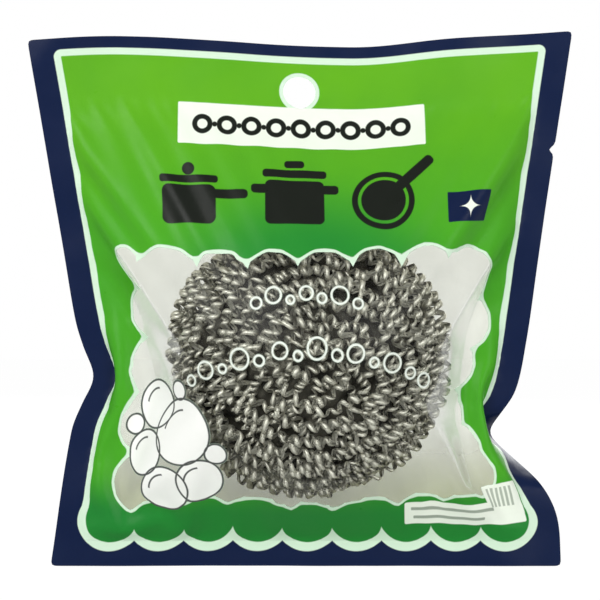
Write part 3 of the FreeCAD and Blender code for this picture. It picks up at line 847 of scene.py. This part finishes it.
def curledRibbon(name, path, curl, seed):  # flat ribbon curled round a strand that wanders and dives
    places = [p for p, _ in path]
    run = [0.0]
    for a, b in zip(places, places[1:]):
        run.append(run[-1] + (b - a).length)
    wide, thick = curl["wide"], curl["thick"]
    points, faces = [], []
    at, turn, k = 0.0, 0.0, 0
    while at < run[-1]:
        while run[k + 1] < at:
            k += 1
        t = (at - run[k]) / (run[k + 1] - run[k])
        along = (places[k + 1] - places[k]).normalized()
        out = path[k][1].lerp(path[k + 1][1], t).normalized()
        side = along.cross(out)
        sway = noise.noise(Vector((at * 0.11, seed, 0.3))) + 0.45 * noise.noise(Vector((at * 0.3, seed, 5.3)))
        dive = 0.45 + 1.0 * noise.noise(Vector((at * 0.075, seed, 9.7)))
        fine = noise.noise(Vector((at * 0.25, seed, 7.1)))
        size = curl["radius"] * (0.74 + 0.36 * fine)
        sink = curl["dive"] * min(max(dive, 0.0), 1.0) ** 1.5 + 0.1
        middle = places[k].lerp(places[k + 1], t) + side * curl["sway"] * sway - out * sink
        ray = out * math.cos(turn) + side * math.sin(turn)
        lean = 0.4 + 0.7 * noise.noise(Vector((at * 0.7, seed, 4.1)))
        tip = noise.noise(Vector((at * 0.6, seed, 6.6)))
        around = side * math.cos(turn) - out * math.sin(turn)
        skew = (along + around * lean + ray * 0.5 * tip).normalized()
        for q in (ray * size - skew * wide / 2, ray * (size + thick), ray * size + skew * wide / 2):
            points.append((middle + q) * mm)
        n = len(points)
        if n > 3:
            for i, j in ((0, 1), (1, 2), (2, 0)):
                faces.append((n - 6 + i, n - 3 + i, n - 3 + j, n - 6 + j))
        turn += 2 * math.pi / curl["steps"]
        at += curl["pitch"] / curl["steps"] * (1 + 0.9 * noise.noise(Vector((at * 0.21, seed, 2.9))))
    last = len(points)
    faces += [(0, 1, 2), (last - 1, last - 2, last - 3)]
    piece = meshPiece(name, points, faces)
    shell = bmesh.new()
    shell.from_mesh(piece.data)
    bmesh.ops.recalc_face_normals(shell, faces=shell.faces)
    for face in shell.faces:
        face.smooth = True
    shell.to_mesh(piece.data)
    shell.free()
    return piece


ribbonSteel = steel("ribbonSteel", "#BFBCB1", "#DAD7CC", 0.45, 0.62)
# the packed core is real, but its steel is painted dark: painted shade for the deep gaps between the strands
packedSteelPaintedShade = steel("packedSteelPaintedShade", "#35332E", "#5E5B53", 0.45, 0.62)
outerHalf = (wad["radius"] - wad["strand"] / 2 + 0.2, wad["depth"] - wad["strand"] / 2 + 0.1)
outerCurl = {
    "radius": wad["strand"] / 2, "pitch": wad["coilPitch"], "steps": wad["coilSteps"],
    "wide": wad["ribbonWide"], "thick": wad["ribbonThick"], "sway": wad["sway"], "dive": wad["dive"],
}
outerPath = woundPath(*outerHalf, wad["firstRadius"], wad["turns"], 0.0)
half = len(outerPath) // 2
halves = [("woundRibbonFront", outerPath[:half + 1], 2.0), ("woundRibbonBack", outerPath[half:], 3.0)]
for name, part, seed in halves:
    ribbon = curledRibbon(name, part, outerCurl, seed)
    ribbon.data.materials.append(ribbonSteel)
    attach(ribbon, "scrubber")
    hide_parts("ribbon_winding")
    print(name, len(ribbon.data.polygons), "faces")

innerCurl = {"radius": 1.9, "pitch": 2.6, "steps": 8, "wide": 1.5, "thick": 0.2, "sway": 2.6, "dive": 2.2}
inner = {"under": 3.4, "firstRadius": 5.0, "turns": 17, "tilt": 0.35}  # wound askew under the outer layer
innerHalf = [reach - inner["under"] for reach in outerHalf]
innerPath = woundPath(*innerHalf, inner["firstRadius"], inner["turns"], inner["tilt"])
innerRibbon = curledRibbon("innerRibbon", innerPath, innerCurl, 5.0)
innerRibbon.data.materials.append(ribbonSteel)
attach(innerRibbon, "scrubber")
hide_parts("ribbon_core")

packed = {"radius": 36.5, "depth": 22.5}
deselectAll()
bpy.ops.mesh.primitive_ico_sphere_add(subdivisions=6, radius=1)
heart = bpy.context.object
heart.name = heart.data.name = "packedHeart"
for point in heart.data.vertices:
    n = point.co.copy()
    ropes = math.sin(n.angle(Vector((0.2, 1, 0.1))) * 34 + 5 * noise.noise(n * 3))
    swell = 1 + 0.022 * ropes + 0.03 * noise.noise(n * 9) + 0.02 * noise.noise(n * 23)
    wide, deep = packed["radius"] * swell, packed["depth"] * swell
    point.co = Vector((wad["x"] + n.x * wide, n.y * deep, wad["z"] + n.z * wide)) * mm
makeActive(heart)
bpy.ops.object.shade_smooth()
heart.data.materials.append(packedSteelPaintedShade)
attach(heart, "scrubber")
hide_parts("ribbon_core")

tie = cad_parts["binding_tie"]
tie.data.materials.clear()
tie.data.materials.append(steel("tieSteel", "#85827A", "#A9A69C", 0.22, 0.4))
print("wad done")

stage = {
    "floorDrop": 1.0, "cameraAway": 0.85, "pixel": 0.3125, "picture": 600,
    "middle": (300 - 298.4, 87.9 - 300),  # of the picture, in pixels from the hang hole
}
deselectAll()
bpy.ops.mesh.primitive_plane_add(size=6, location=(0, 0, (pouch["bottom"] - stage["floorDrop"]) * mm))
floor = bpy.context.object
floor.name = "floor"
floorPaint, tree = newMaterial("floorPaint")
matt = tree.nodes.new("ShaderNodeBsdfDiffuse")
matt.inputs[0].default_value = (0.86, 0.86, 0.86, 1)
glow = tree.nodes.new("ShaderNodeEmission")
glow.inputs["Strength"].default_value = 1.07
ray = tree.nodes.new("ShaderNodeLightPath")
put, maths, *_ = nodeTools(tree)
seen = maths("MAXIMUM", ray.outputs["Is Camera Ray"], ray.outputs["Is Glossy Ray"])
seen = maths("MULTIPLY", maths("MAXIMUM", seen, ray.outputs["Is Transmission Ray"]), 0.9)
blend = tree.nodes.new("ShaderNodeMixShader")
put(blend.inputs[0], seen)
tree.links.new(matt.outputs[0], blend.inputs[1])
tree.links.new(glow.outputs[0], blend.inputs[2])
tree.links.new(blend.outputs[0], tree.nodes.new("ShaderNodeOutputMaterial").inputs[0])
floor.data.materials.append(floorPaint)

world = bpy.data.worlds.new("studio")
scene.world = world
world.use_nodes = True
tree = world.node_tree
tree.nodes.clear()
put, maths, *_ = nodeTools(tree)
ray = tree.nodes.new("ShaderNodeLightPath")
ambient = tree.nodes.new("ShaderNodeBackground")
ambient.inputs[0].default_value = (1, 1, 1, 1)
ambient.inputs[1].default_value = 0.32
white = tree.nodes.new("ShaderNodeBackground")
white.inputs[0].default_value = (1, 1, 1, 1)
seen = maths("MAXIMUM", ray.outputs["Is Camera Ray"], ray.outputs["Is Glossy Ray"])
seen = maths("MAXIMUM", seen, ray.outputs["Is Transmission Ray"])
blend = tree.nodes.new("ShaderNodeMixShader")
put(blend.inputs[0], seen)
tree.links.new(ambient.outputs[0], blend.inputs[1])
tree.links.new(white.outputs[0], blend.inputs[2])
tree.links.new(blend.outputs[0], tree.nodes.new("ShaderNodeOutputWorld").inputs[0])

lamps = [
    ("keyLamp", (-0.62, -1.05, 0.5), 0.7, 10.0),
    ("fillLamp", (0.7, -1.0, 0.15), 0.7, 5.0),
    ("backLamp", (0.3, 1.1, 0.5), 0.9, 8.0),
]
aim = Vector((0, 0, -70 * mm))
for name, place, size, power in lamps:
    lamp = bpy.data.lights.new(name, "AREA")
    lamp.size = size
    lamp.energy = power
    stand = bpy.data.objects.new(name, lamp)
    stand.location = place
    stand.rotation_euler = (aim - Vector(place)).to_track_quat("-Z", "Y").to_euler()
    scene.collection.objects.link(stand)

view = bpy.data.cameras.new("photoCamera")
camera = bpy.data.objects.new("photoCamera", view)
scene.collection.objects.link(camera)
middleX, middleZ = (at * stage["pixel"] * mm for at in stage["middle"])
camera.location = (middleX, -stage["cameraAway"], middleZ)
camera.rotation_euler = (math.radians(90), 0, 0)
view.sensor_width = 36
view.lens = view.sensor_width * stage["cameraAway"] / (stage["picture"] * stage["pixel"] * mm)
scene.camera = camera
print("stage done")
